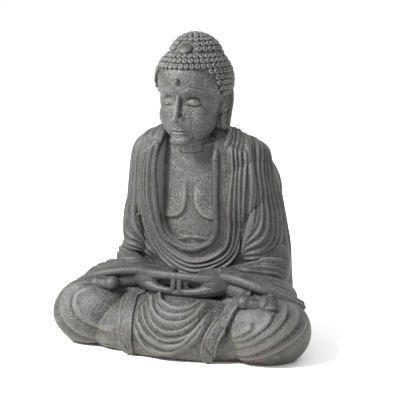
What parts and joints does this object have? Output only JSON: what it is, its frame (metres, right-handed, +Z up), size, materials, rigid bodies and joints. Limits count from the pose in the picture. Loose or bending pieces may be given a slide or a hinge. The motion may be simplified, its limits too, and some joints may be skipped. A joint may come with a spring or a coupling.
{
  "type": "seated buddha statue",
  "caption": "Seated meditating figure in a draped robe, cast in hollow stone sections, standing on its flat base.",
  "frame": {"origin": "centre of the bounding box at the floor, under the middle of the base", "axes": "+Z up; the figure faces -Y; +X is the figure's own left"},
  "size_m": [0.44, 0.282, 0.5],
  "materials": {
    "cast_stone": "matte dark grey cast stone with lighter rubbed high spots",
    "steel_pin": "plain drawn rod, hidden in the joints"
  },
  "bodies": {
    "root": {"lap_shell": "cast_stone", "base_plate": "cast_stone", "torso_front_shell": "cast_stone", "torso_back_shell": "cast_stone", "chest_panel": "cast_stone", "robe_collar": "cast_stone", "sleeve_left": "cast_stone", "sleeve_right": "cast_stone", "neck": "cast_stone", "head_face_shell": "cast_stone", "head_back_shell": "cast_stone", "ear_left": "cast_stone", "ear_right": "cast_stone", "crown_dome": "cast_stone", "crown_jewel": "cast_stone", "urna_bead": "cast_stone", "hair_curls_scalp": "cast_stone", "hair_curls_dome": "cast_stone", "hand_left": "cast_stone", "hand_right": "cast_stone", "foot_left": "cast_stone", "foot_right": "cast_stone", "robe_band_left": "cast_stone", "robe_band_right": "cast_stone", "lap_drape": "cast_stone", "wrist_dowel_left": "steel_pin", "wrist_dowel_right": "steel_pin", "neck_pin": "steel_pin"}
  },
  "joints": []
}
